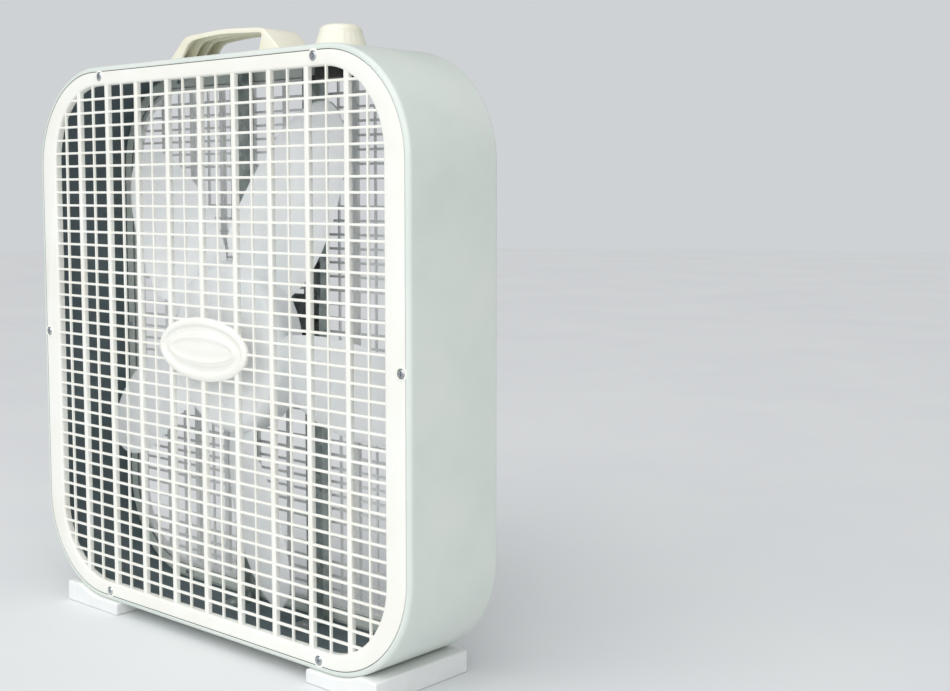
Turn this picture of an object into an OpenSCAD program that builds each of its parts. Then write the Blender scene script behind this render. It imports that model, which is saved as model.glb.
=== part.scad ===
/* [Housing] */
// Width and height of the square housing
face_size = 527; // [500:1:560]
// Depth of the housing from front face to rear face
body_depth = 106; // [100:1:120]
// Outer radius of the housing corners
corner_r = 97; // [85:1:105]
// Radius of the rolled front and rear edges
edge_r = 4; // [3:0.5:4]
// Thickness of the steel band
sheet = 1; // [0.8:0.1:1.2]
// Height of the two feet under the band
foot_h = 12; // [8:1:20]

/* [Grilles] */
// Width of the grille opening
opening_w = 470; // [460:1:474]
// Height of the grille opening
opening_h = 490; // [480:1:492]
// Corner radius of the grille opening
opening_r = 72; // [60:1:75]
// Number of cells across
columns = 20; // [16:2:24]
// Number of cells up
rows = 38; // [30:2:42]
// Width of every second upright rib
wide_rib = 5.5; // [4:0.5:7]
// Width of the uprights between the ribs
thin_bar = 1.8; // [1.5:0.1:3]
// Height of the level bars
level_bar = 2.2; // [1.5:0.1:3]
// Length of the oval badge
badge_l = 127; // [100:1:150]
// Height of the oval badge
badge_h = 58; // [40:1:70]

/* [Impeller] */
// Number of blades
blades = 5; // [3:1:6]
// Radius swept by the blade tips
tip_r = 248; // [200:1:250]
// Outer radius of the hub
hub_r = 80; // [65:1:82]
// Depth of the hub face behind the front of the housing
hub_setback = 22; // [20:1:26]
// Half the greatest width of a blade
blade_half_w = 46.5; // [30:0.5:48]
// Thickness of a blade
blade_t = 2.2; // [1.8:0.1:3]

/* [Motor] */
// Outer radius of the stator and the motor bells
motor_r = 46; // [44:1:50]
// Radius of the motor shaft
shaft_r = 4; // [3:0.5:5]
// Distance of each upright channel from the centre
channel_x = 53; // [50:1:60]
// Width of an upright channel
channel_w = 22; // [18:1:26]

/* [Handle and knob] */
// Half the length of the carry handle at its base
handle_half = 87; // [80:1:95]
// Height of the carry handle
handle_h = 26; // [24:1:30]
// Depth of the carry handle
handle_d = 40; // [34:1:42]
// Distance of the handle and knob centres behind the front face
top_setback = 48; // [44:1:52]
// Distance of the knob from the middle
knob_x = 136; // [125:1:145]
// Radius of the knob at its base
knob_r = 22.5; // [20:0.5:25]
// Height of the knob
knob_h = 20.5; // [19:0.5:24]

/* [Hidden] */
$fn = 64;

// The working frame has its origin at the middle of the housing, x to the right, y up and z to the front.
half = face_size / 2;
front = body_depth / 2;
mid_z = foot_h + half;
skin = half - sheet;
top_z = front - top_setback;

// Seat of a grille in the rolled edge.
seat_depth = 4.8;
groove = 0.5;
flange_reach = 14.5;
plate_inset = edge_r + sheet + groove;
plate_t = 2.6;
skirt_t = 2;
collar_t = 3;
collar_depth = 7;
recess = 0.6;
lattice_t = 2.4;
rib_extra = 2;
badge_rise = 1.6;

// Grille screws.
screw_inset = 10;
screw_x = 154;
screw_r = 1.9;
head_r = 3.8;
head_h = 1.8;
head_sink = 1.2;
screw_l = 12;
grille_screws = [[screw_x, half - screw_inset], [-screw_x, half - screw_inset],
    [screw_x, screw_inset - half], [-screw_x, screw_inset - half],
    [half - screw_inset, 0], [screw_inset - half, 0]];

// Impeller stations along the shaft.
hub_z = front - hub_setback;
hub_depth = 30;
hub_wall = 2.5;
hub_fillet = 9;
hub_boss_r = 11;
hub_boss_l = 11;
blade_rows = 12;
blade_cols = 6;
blade_mid_r = tip_r - 97;
blade_half_l = 97;
blade_axis = 59.5;
blade_sweep = 3;
twist_root = 0.775;
twist_tip = 0.50;
rake_root = 11.5;
rake_slope = 0.135;
root_blend = 20;
root_flatten = 0.46;
root_drop = 7;

// Motor stations along the shaft.
core_front = 0;
core_t = 20;
bell_t = 2.4;
front_bell_z = 11;
rear_bell_z = -32;
bell_wall_in = 39.5;
coil_in = 29;
coil_out = 35.4;
coil_overhang = 7;
boss_r = 10;
bearing_r = 7;
bearing_l = 10;
front_boss_z = 17.5;
rear_boss_z = -38;
front_boss_in = 7.2;
rear_boss_in = -26.4;
running = 0.04;
rotor_r = 22.9;
bore_r = 23.3;
shoe_r = 28.6;
neck_w = 14;
yoke_in = 38.2;
pole_count = 4;
shade_at = 26;
shade_w = 10.4;
bolt_ring = 42.5;
bolt_r = 1.7;
bolt_gap = 0.15;
plate_h = 96;
plate_hole_r = 12;
plate_gauge = 2;
channel_z = rear_bell_z - plate_gauge;
channel_d = 8;
channel_gauge = 1.2;
channel_foot = 30;
plate_screw_y = 40;

// Switch stations below the top wall.
switch_w = 34;
switch_d = 30;
switch_h = 24;
spindle_r = 3;
bushing_r = 5;
bushing_h = 7;
cam_r = 10;
cam_h = 8;

// Wiring and cord entry.
lead_r = 2.4;
bend_r = 8;
lead_z = rear_bell_z + bell_t + lead_r + 0.6;
lead_x = channel_x + channel_w / 2 - 4;
lead_drop = -18;
lead_y = half + lead_drop;
lead_in_y = 12;
lead_end = coil_out + 0.6;
plug_reach = 8;
plug_rear = top_z - switch_d / 2 - plug_reach;
gland_z = front - 81;

// Turns the working frame upright and stands it on its feet.
module upright() { translate([0, 0, mid_z]) rotate([90, 0, 0]) children(); }

// Rectangle with round corners, centred.
module round_rect(w, h, r) {
    square([w - 2 * r, h], center = true);
    square([w, h - 2 * r], center = true);
    for (sx = [-1, 1], sy = [-1, 1]) translate([sx * (w / 2 - r), sy * (h / 2 - r)]) circle(r);
}

// Area inside the housing outline, drawn in by an inset.
module outline(inset) { round_rect(face_size - 2 * inset, face_size - 2 * inset, corner_r - inset); }

// Pan head screw along z with its head above z = 0 and a cross in the head.
module pan_screw(r, hr, hh, l) {
    difference() {
        union() {
            translate([0, 0, -l]) cylinder(h = l + 0.2, r = r);
            cylinder(h = hh * 0.5, r = hr);
            translate([0, 0, hh * 0.5]) cylinder(h = hh * 0.5, r1 = hr, r2 = hr * 0.72);
        }
        for (a = [0, 90]) rotate(a) translate([-hr * 0.55, -0.45, hh * 0.35]) cube([hr * 1.1, 0.9, hh]);
    }
}

// Hexagonal prism with a bore.
module hex_nut(flat, bore, t) {
    difference() {
        cylinder(h = t, r = flat / 2 / cos(30), $fn = 6);
        translate([0, 0, -1]) cylinder(h = t + 2, r = bore);
    }
}

// Cross-section of the band: x is the distance from the corner's centre, y runs front to back.
module band_section() {
    for (s = [-1, 1]) {
        translate([corner_r - edge_r, s * (front - edge_r)]) intersection() {
            difference() {
                circle(edge_r);
                circle(edge_r - sheet);
            }
            translate([0, s > 0 ? 0 : -edge_r]) square(edge_r);
        }
        translate([corner_r - edge_r - sheet, s > 0 ? front - seat_depth - sheet : -front])
            square([sheet, seat_depth + sheet]);
        translate([corner_r - flange_reach, s > 0 ? front - seat_depth - sheet : seat_depth - front])
            square([flange_reach - edge_r, sheet]);
    }
    translate([corner_r - sheet, edge_r - front]) square([sheet, body_depth - 2 * edge_r]);
}

// Sweeps a cross-section round the four sides and corners of the housing.
module swept_band() {
    side = face_size - 2 * corner_r;
    for (a = [0:90:270]) rotate(a) translate([side / 2, side / 2, 0]) {
        rotate_extrude(angle = 90) children();
        rotate([90, 0, 0]) linear_extrude(side) children();
    }
}

module housing_band() {
    color("gainsboro") upright() difference() {
        swept_band() band_section();
        for (p = grille_screws, s = [-1, 1])
            translate([p[0], p[1], s * (front - seat_depth)])
                cylinder(h = 4, r = screw_r + 0.1, center = true);
        switch_place() cylinder(h = 6, r = bushing_r + 0.1, center = true);
        gland_place() cylinder(h = 6, r = 6.1, center = true);
        handle_screw_places() cylinder(h = 6, r = 1.9, center = true);
        foot_screw_places() cylinder(h = 6, r = 1.9, center = true);
        rivet_places() cylinder(h = 6, r = 2.05, center = true);
    }
}

// Bars of a lattice as one flat area.
module lattice_area() {
    pitch_x = opening_cell_w();
    pitch_y = opening_cell_h();
    for (i = [1:columns - 1])
        translate([(i - columns / 2) * pitch_x, 0])
            square([i % 2 == 0 ? wide_rib : thin_bar, opening_h + 2], center = true);
    for (j = [1:rows - 1])
        translate([0, (j - rows / 2) * pitch_y]) square([opening_w + 2, level_bar], center = true);
}

function opening_cell_w() = (opening_w + 10) / columns;
function opening_cell_h() = (opening_h + 0.6) / rows;

// Ellipse drawn from its two diameters.
module oval(l, h) { polygon([for (a = [0:5:355]) [l / 2 * cos(a), h / 2 * sin(a)]]); }

// Border with its skirt, collar and screw bosses, and the lattice set back in it.
module grille_panel() {
    difference() {
        union() {
            translate([0, 0, front - plate_t]) linear_extrude(plate_t) difference() {
                outline(plate_inset);
                round_rect(opening_w, opening_h, opening_r);
            }
            translate([0, 0, front - seat_depth]) linear_extrude(seat_depth - plate_t) difference() {
                outline(plate_inset);
                outline(plate_inset + skirt_t);
            }
            translate([0, 0, front - collar_depth]) linear_extrude(collar_depth - plate_t) difference() {
                round_rect(opening_w + 2 * collar_t, opening_h + 2 * collar_t, opening_r + collar_t);
                round_rect(opening_w, opening_h, opening_r);
            }
            for (p = grille_screws) translate([p[0], p[1], front - seat_depth])
                cylinder(h = seat_depth - plate_t, r = head_r + 1);
        }
        for (p = grille_screws) translate([p[0], p[1], 0]) {
            translate([0, 0, front - head_sink]) cylinder(h = 2, r = head_r + 0.5);
            translate([0, 0, front - 8]) cylinder(h = 9, r = screw_r + 0.1);
        }
    }
    translate([0, 0, front - recess - lattice_t]) linear_extrude(lattice_t) intersection() {
        lattice_area();
        round_rect(opening_w + 1, opening_h + 1, opening_r + 0.5);
    }
    translate([0, 0, front - recess - lattice_t - rib_extra]) linear_extrude(rib_extra) intersection() {
        for (i = [2:2:columns - 2]) translate([(i - columns / 2) * opening_cell_w(), 0])
            square([wide_rib, opening_h + 2], center = true);
        round_rect(opening_w + 1, opening_h + 1, opening_r + 0.5);
    }
}

// Oval badge with a raised rim and two raised rings.
module badge() {
    translate([0, 0, front - recess - lattice_t]) linear_extrude(lattice_t) oval(badge_l, badge_h);
    translate([0, 0, front - recess]) linear_extrude(recess + badge_rise) difference() {
        oval(badge_l - 6, badge_h - 5);
        oval(badge_l - 16, badge_h - 13);
    }
    translate([0, 0, front - recess]) linear_extrude(recess + badge_rise / 2)
        oval(badge_l - 26, badge_h - 21);
    translate([0, 0, front + badge_rise / 2]) linear_extrude(badge_rise / 2) difference() {
        oval(badge_l - 34, badge_h - 27);
        oval(badge_l - 40, badge_h - 32);
    }
}

module front_grille() {
    color("white") upright() {
        grille_panel();
        badge();
    }
}

module rear_grille() { color("whitesmoke") upright() mirror([0, 0, 1]) grille_panel(); }

// One face's grille screws, seated in their counterbores.
module grille_screw_set() {
    for (p = grille_screws) translate([p[0], p[1], front - head_sink])
        pan_screw(screw_r, head_r, head_h, screw_l);
}

module front_grille_screws() { color("silver") upright() grille_screw_set(); }

module rear_grille_screws() { color("silver") upright() mirror([0, 0, 1]) grille_screw_set(); }

// Side view of the handle, from its base up, with rounded shoulders.
module handle_profile() {
    low = handle_half + 9;
    shoulder = handle_half * 2 / 3;
    intersection() {
        offset(8) offset(delta = -8) polygon([[-low, -10], [-shoulder, handle_h - 2.5], [0, handle_h],
            [shoulder, handle_h - 2.5], [low, -10]]);
        translate([-low, 0]) square([2 * low, handle_h]);
    }
}

// Finger gap as seen from the front, sloped on the left and upright on the right.
module finger_gap_profile() {
    offset(2) offset(delta = -2) polygon([[-68, -6], [-51, handle_h - 11], [-42, handle_h - 7],
        [0, handle_h - 4.2], [56, handle_h - 7], [50, -6]]);
}

module carry_handle() {
    wall = 2.6;
    color("ivory") upright() translate([0, half, top_z]) difference() {
        union() {
            translate([0, 0, -handle_d / 2]) linear_extrude(handle_d) difference() {
                handle_profile();
                translate([0, -1]) offset(delta = -wall) union() {
                    handle_profile();
                    translate([-handle_half, -6]) square([2 * handle_half, 7]);
                }
            }
            for (z = [-handle_d / 2, -7 - wall / 2, 7 - wall / 2, handle_d / 2 - wall])
                translate([0, 0, z]) linear_extrude(wall) difference() {
                    handle_profile();
                    finger_gap_profile();
                }
            handle_screw_spots() cylinder(h = 7, r = 4.2);
        }
        handle_screw_spots() translate([0, 0, -1]) cylinder(h = 7, r = 1.5);
    }
}

// Places of the handle screws relative to the handle's base, with z up.
module handle_screw_spots() {
    for (sx = [-1, 1], sz = [-1, 1])
        translate([sx * (handle_half - 15), 0, sz * handle_d / 4 + sz * 2]) rotate([-90, 0, 0]) children();
}

module handle_screw_places() { translate([0, half, top_z]) handle_screw_spots() children(); }

module handle_screws() {
    color("silver") upright() handle_screw_places()
        translate([0, 0, -sheet]) mirror([0, 0, 1]) pan_screw(1.5, 3.4, 1.8, 6.5);
}

// Foot under one bottom corner, its top hollowed to the band's curve.
module foot(side) {
    inner = 140;
    outer = 226;
    width = outer - inner;
    color("white") upright() difference() {
        translate([side > 0 ? inner : -outer, -mid_z, -front - 3]) union() {
            translate([2, 0, 2]) cube([width - 4, foot_h + 22, body_depth + 2]);
            translate([0, 2, 2]) cube([width, foot_h + 20, body_depth + 2]);
            translate([2, 2, 0]) cube([width - 4, foot_h + 20, body_depth + 6]);
        }
        translate([0, 0, -front - 5]) linear_extrude(body_depth + 10) outline(0);
        translate([side > 0 ? inner + 40 : -outer - 1, -half + 8, -front - 4])
            cube([width - 39, 20, body_depth + 8]);
        foot_screw_places() {
            cylinder(h = 40, r = 1.9, center = true);
            translate([0, 0, 4]) cylinder(h = 12, r = 4);
        }
    }
}

module foot_left() { foot(-1); }

module foot_right() { foot(1); }

// Places of the foot screws on the band's underside, with z down and out.
module foot_screw_places() {
    for (sx = [-1, 1], sz = [-1, 1])
        translate([sx * 156, -half, sz * 34]) rotate([90, 0, 0]) children();
}

module foot_screws() {
    color("silver") upright() foot_screw_places()
        translate([0, 0, 4]) pan_screw(1.8, 3.6, 1.8, 7);
}

// Upright steel channel with a foot at each end, bent forward along the band.
module motor_channel(side) {
    reach = half - sheet;
    color("lightsteelblue") upright() translate([side * channel_x, 0, 0]) difference() {
        union() {
            translate([-channel_w / 2, -reach, channel_z - channel_gauge])
                cube([channel_w, 2 * reach, channel_gauge]);
            for (s = [-1, 1])
                translate([s * (channel_w - channel_gauge) / 2, 0, channel_z - channel_d / 2])
                    cube([channel_gauge, 2 * reach, channel_d], center = true);
            for (s = [-1, 1])
                translate([0, s * (reach - channel_gauge / 2), channel_z + (channel_foot - channel_d) / 2])
                    cube([channel_w, channel_gauge, channel_foot + channel_d], center = true);
        }
        translate([-side * channel_x, 0, 0]) rivet_places() cylinder(h = 12, r = 2.05, center = true);
        for (s = [-1, 1])
            translate([0, s * plate_screw_y, channel_z]) cylinder(h = 8, r = 1.9, center = true);
    }
}

module motor_channel_left() { motor_channel(-1); }

module motor_channel_right() { motor_channel(1); }

// Places of the channel rivets on the top and bottom walls, with z outwards.
module rivet_places() {
    for (sx = [-1, 1], sy = [-1, 1], z = [channel_z + 4.5, channel_z + 13])
        translate([sx * channel_x, sy * half, z]) rotate([-90 * sy, 0, 0]) children();
}

module channel_rivets() {
    grip = sheet + channel_gauge;
    color("silver") upright() rivet_places() {
        translate([0, 0, -grip]) cylinder(h = grip, r = 2);
        cylinder(h = 1, r1 = 3.6, r2 = 2.4);
        translate([0, 0, -grip - 1]) cylinder(h = 1, r1 = 2.4, r2 = 3.6);
    }
}

module motor_plate() {
    color("lightsteelblue") upright() translate([0, 0, channel_z]) linear_extrude(plate_gauge) difference() {
        round_rect(2 * channel_x + channel_w, plate_h, 8);
        circle(plate_hole_r);
        for (a = [45:90:315]) rotate(a) translate([bolt_ring, 0]) circle(bolt_r + bolt_gap);
        for (sx = [-1, 1], sy = [-1, 1]) translate([sx * channel_x, sy * plate_screw_y]) circle(1.9);
    }
}

module motor_plate_screws() {
    color("silver") upright() for (sx = [-1, 1], sy = [-1, 1])
        translate([sx * channel_x, sy * plate_screw_y, channel_z + plate_gauge]) pan_screw(1.8, 3.6, 1.8, 7);
}

// Cut that parts the shaded third of a pole shoe from the rest and trims the shoe's end.
module shading_cuts() {
    rotate(shade_at) {
        translate([15, -shade_w / 2 - 2]) square([11.6, 2]);
        translate([15, shade_w / 2]) square([20, 12]);
    }
}

// One pole: a neck from the yoke and a curved shoe.
module pole_area() {
    translate([shoe_r - 1.5, -neck_w / 2]) square([yoke_in - shoe_r + 3, neck_w]);
    difference() {
        circle(shoe_r);
        circle(bore_r);
        for (s = [-1, 1]) rotate(s * 38) translate([-60, s > 0 ? 0 : -60]) square([120, 60]);
        translate([-60, -60]) square([60, 120]);
        shading_cuts();
    }
}

module stator_core() {
    color("dimgray") upright() translate([0, 0, core_front - core_t]) linear_extrude(core_t) difference() {
        union() {
            difference() {
                circle(motor_r);
                circle(yoke_in);
            }
            for (k = [0:pole_count - 1]) rotate(90 * k) pole_area();
        }
        for (a = [45:90:315]) rotate(a) translate([bolt_ring, 0]) circle(bolt_r + bolt_gap);
    }
}

module stator_coils() {
    color("chocolate") upright() for (k = [0:pole_count - 1])
        rotate(90 * k) translate([(coil_in + coil_out) / 2, 0, core_front - core_t / 2]) difference() {
            cube([coil_out - coil_in, neck_w + 12, core_t + 2 * coil_overhang], center = true);
            cube([coil_out - coil_in + 2, neck_w + 0.6, core_t + 0.6], center = true);
        }
}

module shading_rings() {
    color("peru") upright() for (k = [0:pole_count - 1])
        rotate(90 * k + shade_at) translate([25.4, 0, core_front - core_t / 2]) difference() {
            cube([2, shade_w + 3.6, core_t + 4], center = true);
            cube([4, shade_w + 0.1, core_t + 0.4], center = true);
        }
}

// Shell from one core face to a bell plate, with a bearing boss.
module bell(plate_at, wall_from, boss_from, boss_to) {
    low = min(plate_at, wall_from);
    difference() {
        union() {
            translate([0, 0, low]) cylinder(h = abs(wall_from - plate_at), r = motor_r);
            translate([0, 0, boss_from]) cylinder(h = boss_to - boss_from, r = boss_r);
        }
        difference() {
            translate([0, 0, plate_at > wall_from ? wall_from - 1 : plate_at + bell_t])
                cylinder(h = abs(wall_from - plate_at) - bell_t + 1, r = bell_wall_in);
            translate([0, 0, boss_from]) cylinder(h = boss_to - boss_from, r = boss_r);
        }
        translate([0, 0, boss_from - 1]) cylinder(h = boss_to - boss_from + 2, r = bearing_r);
        for (a = [45:90:315]) rotate(a) translate([bolt_ring, 0, low - 1])
            cylinder(h = abs(wall_from - plate_at) + 2, r = bolt_r + bolt_gap);
        for (a = [0:60:300]) rotate(a) translate([24, 0, low - 1])
            linear_extrude(abs(wall_from - plate_at) + 2) round_rect(14, 8, 3.9);
    }
}

module motor_front_bell() {
    color("gray") upright() bell(front_bell_z, core_front, front_boss_in, front_boss_z);
}

module motor_rear_bell() {
    color("gray") upright() difference() {
        bell(rear_bell_z, core_front - core_t, rear_boss_z, rear_boss_in);
        translate([lead_end, lead_in_y, lead_z]) rotate([0, 90, 0]) cylinder(h = motor_r, r = lead_r + 0.02);
    }
}

module motor_bolts() {
    nut_side = front_bell_z + 4.4;
    color("silver") upright() for (a = [45:90:315]) rotate(a) translate([bolt_ring, 0, channel_z])
        mirror([0, 0, 1]) pan_screw(bolt_r, 3.2, 1.8, nut_side - channel_z);
}

module motor_nuts() {
    color("silver") upright() for (a = [45:90:315])
        rotate(a) translate([bolt_ring, 0, front_bell_z]) hex_nut(6.4, bolt_r + 0.02, 3);
}

// Sleeve bearing at one end of the shaft.
module bearing(from) {
    color("darkgoldenrod") upright() translate([0, 0, from]) difference() {
        cylinder(h = bearing_l, r = bearing_r);
        translate([0, 0, -1]) cylinder(h = bearing_l + 2, r = shaft_r + running);
    }
}

module front_bearing() { bearing(front_boss_z - bearing_l); }

module rear_bearing() { bearing(rear_boss_z); }

module motor_shaft() {
    length = hub_z + 3 - rear_boss_z;
    color("silver") upright() translate([0, 0, rear_boss_z]) {
        cylinder(h = length - 0.8, r = shaft_r);
        translate([0, 0, length - 0.8]) cylinder(h = 0.8, r1 = shaft_r, r2 = shaft_r - 0.8);
    }
}

module motor_rotor() {
    color("slategray") upright() difference() {
        union() {
            translate([0, 0, core_front - core_t]) cylinder(h = core_t, r = rotor_r);
            translate([0, 0, core_front - core_t - 3.6]) cylinder(h = core_t + 7.2, r = rotor_r - 3);
        }
        translate([0, 0, core_front - core_t - 5]) cylinder(h = core_t + 10, r = shaft_r);
    }
}

module thrust_washers() {
    color("tan") upright() for (z = [core_front + 4.2, core_front - core_t - 5.6])
        translate([0, 0, z]) difference() {
            cylinder(h = 1.4, r = boss_r - 2);
            translate([0, 0, -1]) cylinder(h = 4, r = shaft_r);
        }
}

// Cup-shaped hub as a turned section: x is the radius, y runs forward.
module hub_section() {
    difference() {
        union() {
            translate([0, hub_z - hub_depth]) square([hub_r, hub_depth - hub_fillet]);
            translate([0, hub_z - hub_fillet]) square([hub_r - hub_fillet, hub_fillet]);
            translate([hub_r - hub_fillet, hub_z - hub_fillet]) intersection() {
                circle(hub_fillet);
                square(hub_fillet);
            }
        }
        translate([0, hub_z - hub_depth - 1]) square([hub_r - hub_wall, hub_depth - hub_fillet + 1]);
        translate([0, hub_z - hub_fillet - 1]) square([hub_r - hub_fillet, hub_fillet + 1 - hub_wall]);
        translate([hub_r - hub_fillet, hub_z - hub_fillet]) intersection() {
            circle(hub_fillet - hub_wall);
            square(hub_fillet);
        }
    }
    translate([0, hub_z - hub_boss_l]) square([hub_boss_r, hub_boss_l]);
}

// Point on a blade: t runs from hub to tip in degrees, s runs from the rear edge to the front edge.
function blade_point(t, s, lift) =
    let (r = blade_mid_r - blade_half_l * cos(t),
         along = (r - hub_r) / (tip_r - hub_r),
         near_hub = max(0, 1 - (r - hub_r) / root_blend),
         half_turn = blade_half_w * sin(t) / r * 180 / PI,
         turn = blade_axis + blade_sweep * along + s * half_turn,
         twist = (twist_root + (twist_tip - twist_root) * along) * (1 - root_flatten * near_hub))
    [r * cos(turn), r * sin(turn),
        hub_z - rake_root - root_drop * near_hub - rake_slope * (r - hub_r) + twist * s * half_turn + lift];

// Curved plate on a grid of rows from hub to tip and columns across the blade.
module blade() {
    t0 = acos((blade_mid_r - hub_r + hub_wall / 2) / blade_half_l);
    t1 = 175;
    m = blade_cols + 1;
    layer = (blade_rows + 1) * m;
    points = [for (lift = [blade_t / 2, -blade_t / 2], i = [0:blade_rows], j = [0:blade_cols])
        blade_point(t0 + (t1 - t0) * i / blade_rows, 2 * j / blade_cols - 1, lift)];
    skins = [for (i = [0:blade_rows - 1], j = [0:blade_cols - 1])
        let (a = i * m + j, b = a + m)
        for (f = [[a, a + 1, b + 1], [a, b + 1, b],
            [layer + a, layer + b + 1, layer + a + 1], [layer + a, layer + b, layer + b + 1]]) f];
    sides = [for (i = [0:blade_rows - 1], j = [0, blade_cols])
        let (a = i * m + j, b = a + m)
        for (f = j == 0 ? [[a, b, layer + b], [a, layer + b, layer + a]]
            : [[a, layer + b, b], [a, layer + a, layer + b]]) f];
    ends = [for (i = [0, blade_rows], j = [0:blade_cols - 1])
        let (a = i * m + j, b = a + 1)
        for (f = i == 0 ? [[a, layer + b, b], [a, layer + a, layer + b]]
            : [[a, b, layer + b], [a, layer + b, layer + a]]) f];
    polyhedron(points, concat(skins, sides, ends));
}

module impeller() {
    color("white") upright() difference() {
        union() {
            rotate_extrude() hub_section();
            for (k = [0:blades - 1]) rotate(360 * k / blades) blade();
        }
        translate([0, 0, hub_z - hub_depth - 1]) cylinder(h = hub_depth + 2, r = shaft_r);
    }
}

module hub_clip() {
    color("silver") upright() translate([0, 0, hub_z]) difference() {
        union() {
            cylinder(h = 0.6, r = 9);
            cylinder(h = 1.8, r1 = 7, r2 = 5.4);
        }
        translate([0, 0, -1]) cylinder(h = 4, r = shaft_r);
    }
}

// Place of the switch and knob axis on the top wall's outer face, with z up.
module switch_place() { translate([knob_x, half, top_z]) rotate([-90, 0, 0]) children(); }

// Turned outside of the knob, drawn in by an inset.
module knob_section(inset) {
    fillet = 7;
    top_r = knob_r - 3.8;
    low = 0.8;
    difference() {
        polygon(concat([[0, low - inset], [knob_r - inset, low - inset]],
            [for (a = [0:10:90]) [top_r - fillet + (fillet - inset) * cos(a),
                knob_h - fillet + (fillet - inset) * sin(a)]],
            [[0, knob_h - inset]]));
        translate([-50, -50]) square([50, 100]);
    }
}

module control_knob() {
    color("ivory") upright() switch_place() difference() {
        union() {
            difference() {
                rotate_extrude() knob_section(0);
                translate([0, 0, -0.6]) rotate_extrude() knob_section(2.2);
                translate([0, 0, -2]) cylinder(h = 4, r = knob_r - 2.2);
            }
            translate([0, 0, bushing_h + 2]) cylinder(h = knob_h - bushing_h - 3, r = 6);
        }
        translate([0, 0, -1]) cylinder(h = knob_h - 4, r = spindle_r);
        translate([-1, 4, knob_h - 0.7]) cube([2, knob_r - 10, 2]);
    }
}

module switch_spindle() {
    color("silver") upright() switch_place() translate([0, 0, -sheet - 16])
        cylinder(h = sheet + 16 + knob_h - 5.2, r = spindle_r);
}

module switch_rotor() {
    color("wheat") upright() switch_place() translate([0, 0, -sheet - 16]) difference() {
        union() {
            cylinder(h = cam_h, r = cam_r);
            for (a = [0:90:270]) rotate(a) translate([cam_r - 2, 0, 0]) cylinder(h = cam_h / 2, r = 2.6);
        }
        translate([0, 0, -1]) cylinder(h = cam_h + 2, r = spindle_r);
    }
}

module switch_body() {
    wall = 2;
    color("darkslategray") upright() switch_place() difference() {
        union() {
            translate([-switch_w / 2, -switch_d / 2, -sheet - switch_h]) cube([switch_w, switch_d, switch_h]);
            translate([0, 0, -sheet]) cylinder(h = bushing_h, r = bushing_r);
        }
        translate([wall - switch_w / 2, wall - switch_d / 2, wall - sheet - switch_h])
            cube([switch_w - 2 * wall, switch_d - 2 * wall, switch_h - 2 * wall - 3]);
        translate([0, 0, -sheet - switch_h / 2]) cylinder(h = switch_h, r = spindle_r + running);
    }
}

module switch_nut() {
    color("silver") upright() switch_place() hex_nut(14, bushing_r, 2.5);
}

// Five flat blades on the rear of the switch, grown by a gap on every side.
module terminal_blades(gap) {
    for (x = [-12:6:12]) translate([x - 0.4 - gap, switch_d / 2, lead_drop - 3.2 - gap])
        cube([0.8 + 2 * gap, plug_reach - 2 + gap, 6.4 + 2 * gap]);
}

module switch_terminals() {
    color("goldenrod") upright() switch_place() terminal_blades(0);
}

// Quarter of a ring of lead, turning from +x to +y.
module lead_bend() { rotate_extrude(angle = 90) translate([bend_r, 0]) circle(lead_r); }

// Sleeved lead from the switch along the top wall, down the right channel and into the rear bell.
module motor_lead() {
    color("black") upright() {
        translate([knob_x, lead_y, plug_rear]) mirror([0, 0, 1])
            cylinder(h = plug_rear - lead_z - bend_r, r = lead_r);
        translate([knob_x - bend_r, lead_y, lead_z + bend_r]) rotate([-90, 0, 0]) lead_bend();
        translate([lead_x + bend_r, lead_y, lead_z]) rotate([0, 90, 0])
            cylinder(h = knob_x - lead_x - 2 * bend_r, r = lead_r);
        translate([lead_x + bend_r, lead_y - bend_r, lead_z]) rotate(90) lead_bend();
        translate([lead_x, lead_in_y + bend_r, lead_z]) rotate([-90, 0, 0])
            cylinder(h = lead_y - lead_in_y - 2 * bend_r, r = lead_r);
        translate([lead_x - bend_r, lead_in_y + bend_r, lead_z]) rotate(-90) lead_bend();
        translate([lead_end, lead_in_y, lead_z]) rotate([0, 90, 0])
            cylinder(h = lead_x - bend_r - lead_end, r = lead_r);
    }
}

// Socket that gathers the lead's wires onto the switch terminals.
module switch_plug() {
    color("ivory") upright() switch_place() difference() {
        translate([-16, switch_d / 2 + 1, lead_drop - 5.4]) cube([32, plug_reach - 1, 10.8]);
        terminal_blades(0.1);
    }
}

// Clip around the lead, standing on z = 0 with the lead's axis along y at a height.
module lead_clip(height) {
    difference() {
        union() {
            translate([0, 0, height]) rotate([90, 0, 0]) cylinder(h = 6, r = lead_r + 1.2, center = true);
            translate([-2.4, -3, 0]) cube([4.8, 6, height]);
            translate([-12, -3, 0]) cube([14.4, 6, 1]);
        }
        translate([0, 0, height]) rotate([90, 0, 0]) cylinder(h = 8, r = lead_r + 0.02, center = true);
    }
}

module lead_clips() {
    color("dimgray") upright() {
        for (y = [75, 145, 215]) translate([lead_x, y, channel_z]) lead_clip(lead_z - channel_z);
        translate([(knob_x + lead_x) / 2, skin, lead_z]) rotate([90, 0, 0]) rotate(90)
            lead_clip(skin - lead_y);
    }
}

// Place of the cord's entry on the top wall's outer face, with z up.
module gland_place() { translate([knob_x, half, gland_z]) rotate([-90, 0, 0]) children(); }

module cord_gland() {
    color("dimgray") upright() gland_place() difference() {
        union() {
            translate([0, 0, -sheet - 5]) cylinder(h = sheet + 8, r = 6);
            cylinder(h = 2.4, r = 8.6);
            translate([0, 0, -sheet - 2.4]) cylinder(h = 2.4, r = 8);
        }
        translate([0, 0, -sheet - 6]) cylinder(h = sheet + 10, r = 3.4);
    }
}

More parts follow.
